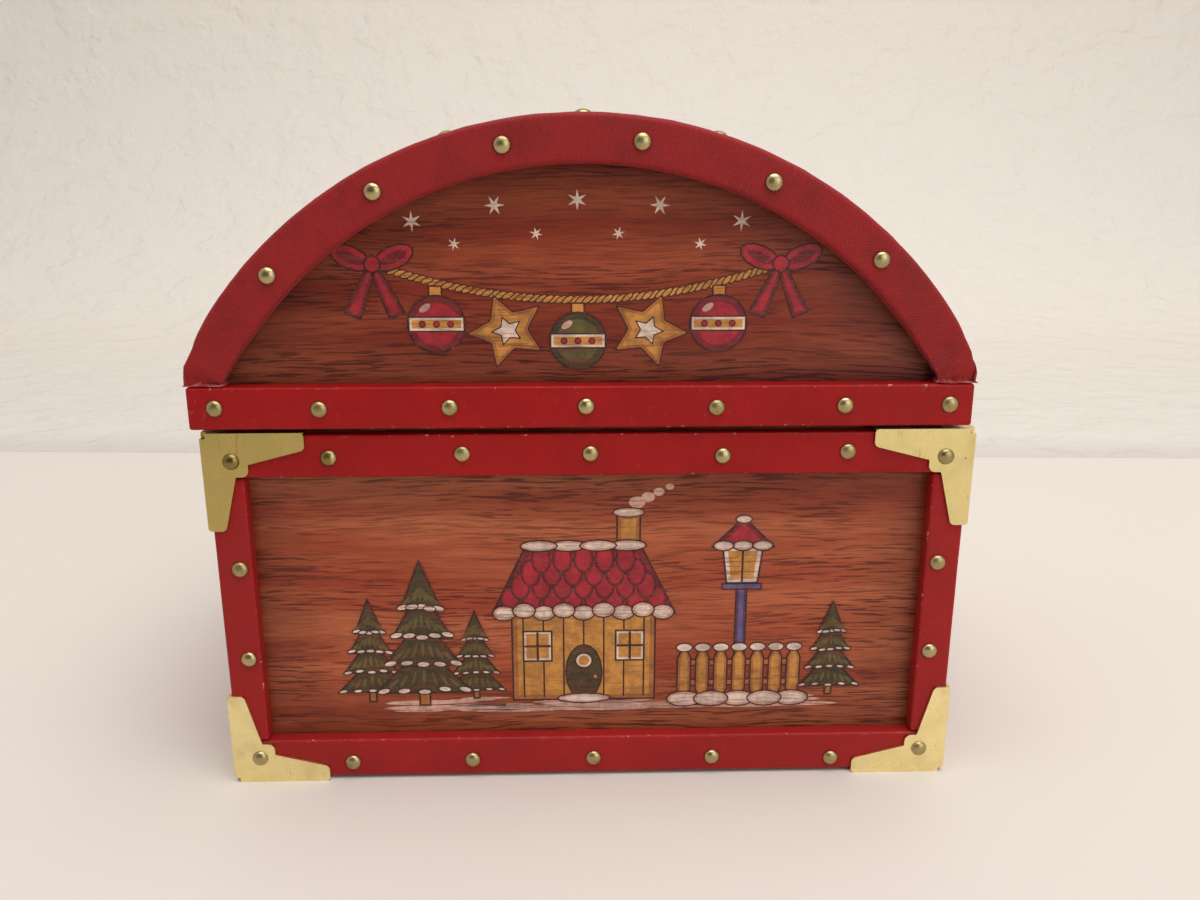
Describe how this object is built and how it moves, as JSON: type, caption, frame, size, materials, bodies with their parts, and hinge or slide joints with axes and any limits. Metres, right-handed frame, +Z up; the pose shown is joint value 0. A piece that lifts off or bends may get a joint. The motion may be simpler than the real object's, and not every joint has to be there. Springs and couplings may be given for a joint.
{
  "type": "music box",
  "caption": "Dome-topped wooden chest with red strips, brass corners and nails, a hinged barrel lid, a keepsake space and a wind-up cylinder movement with a key at the back.",
  "frame": {"origin": "centre of the felt foot's underside, on the table", "axes": "+X to the right along the width, +Y to the back, where the hinges and the key are, +Z up; the arched front faces -Y"},
  "size_m": [0.1836, 0.1375, 0.1616],
  "materials": {
    "veneer": "mahogany-coloured veneer with dark pores, semi-gloss lacquer",
    "plain_wood": "plain sanded wood",
    "felt": "short-pile wool felt",
    "red_paint": "satin red paint with worn edges",
    "arch_cloth": "red bookcloth glued over plywood",
    "band_cloth": "red bookcloth",
    "brass": "stamped and turned brass, lightly tarnished",
    "steel": "bright machined steel",
    "cast_metal": "cast metal, blasted",
    "black_plastic": "moulded black plastic",
    "clear_plastic": "clear acrylic sheet"
  },
  "bodies": {
    "chest": {"base_front_panel": "veneer", "base_back_panel": "veneer", "base_left_panel": "veneer", "base_right_panel": "veneer", "partition_wall": "veneer", "base_floor": "plain_wood", "cover_cleats": "plain_wood", "base_felt": "felt", "keepsake_lining": "felt", "front_top_rail": "red_paint", "front_bottom_rail": "red_paint", "front_stiles": "red_paint", "back_top_rail": "red_paint", "back_bottom_rail": "red_paint", "back_stiles": "red_paint", "left_top_rail": "red_paint", "left_bottom_rail": "red_paint", "left_stiles": "red_paint", "right_top_rail": "red_paint", "right_bottom_rail": "red_paint", "right_stiles": "red_paint", "top_corner_brackets": "brass", "bottom_corner_brackets": "brass", "base_nails": "brass", "hinge_base_leaves": "brass", "hinge_base_screws": "brass", "stop_guides": "brass", "hinge_pins": "steel", "movement_screws": "steel", "spring_housing": "steel", "spring_cover": "steel", "mainspring": "steel", "tuned_comb": "steel", "governor_bridge": "steel", "movement_bedplate": "cast_metal", "movement_cover": "clear_plastic"},
    "lid": {"lid_front_panel": "veneer", "lid_back_panel": "veneer", "lid_side_walls": "veneer", "lid_dome": "veneer", "lid_front_rail": "red_paint", "lid_back_rail": "red_paint", "lid_side_rails": "red_paint", "lid_front_arch": "arch_cloth", "lid_back_arch": "arch_cloth", "lid_top_bands": "band_cloth", "lid_nails": "brass", "hinge_lid_leaves": "brass", "hinge_lid_screws": "brass"},
    "winding": {"winding_arbor": "steel", "drive_wheel": "brass", "winding_key": "brass"},
    "cylinder": {"cylinder_arbor": "steel", "music_cylinder": "brass", "cylinder_wheel": "brass"},
    "governor": {"governor_wheel": "brass"},
    "fly": {"governor_worm": "steel", "governor_fly": "black_plastic"},
    "stop": {"stop_wire": "brass"}
  },
  "joints": [
    {"name": "lid_hinge", "type": "hinge", "parent": "chest", "child": "lid", "pos_m": [0, 0.06265, 0.0904], "axis": [-1, 0, 0], "range_deg": [0, 95]},
    {"name": "key_turn", "type": "hinge", "parent": "chest", "child": "winding", "pos_m": [0.064, 0.05, 0.0234], "axis": [0, 1, 0], "continuous": true},
    {"name": "cylinder_turn", "type": "hinge", "parent": "chest", "child": "cylinder", "pos_m": [0.0442, 0.02, 0.0234], "axis": [0, 1, 0], "continuous": true},
    {"name": "governor_turn", "type": "hinge", "parent": "chest", "child": "governor", "pos_m": [0.0562, 0.005, 0.0234], "axis": [0, 1, 0], "continuous": true},
    {"name": "fly_turn", "type": "hinge", "parent": "chest", "child": "fly", "pos_m": [0.0637, 0.0047, 0.0234], "axis": [0, 0, 1], "continuous": true},
    {"name": "stop_slide", "type": "slide", "parent": "chest", "child": "stop", "axis": [0, 0, 1], "range_m": [0, 0.003]}
  ],
  "couplings": [
    {"joint": "cylinder_turn", "follows": "key_turn", "ratio": -2},
    {"joint": "governor_turn", "follows": "key_turn", "ratio": 6},
    {"joint": "fly_turn", "follows": "key_turn", "ratio": 144},
    {"joint": "stop_slide", "follows": "lid_hinge", "m_per_rad": 0.0018}
  ]
}
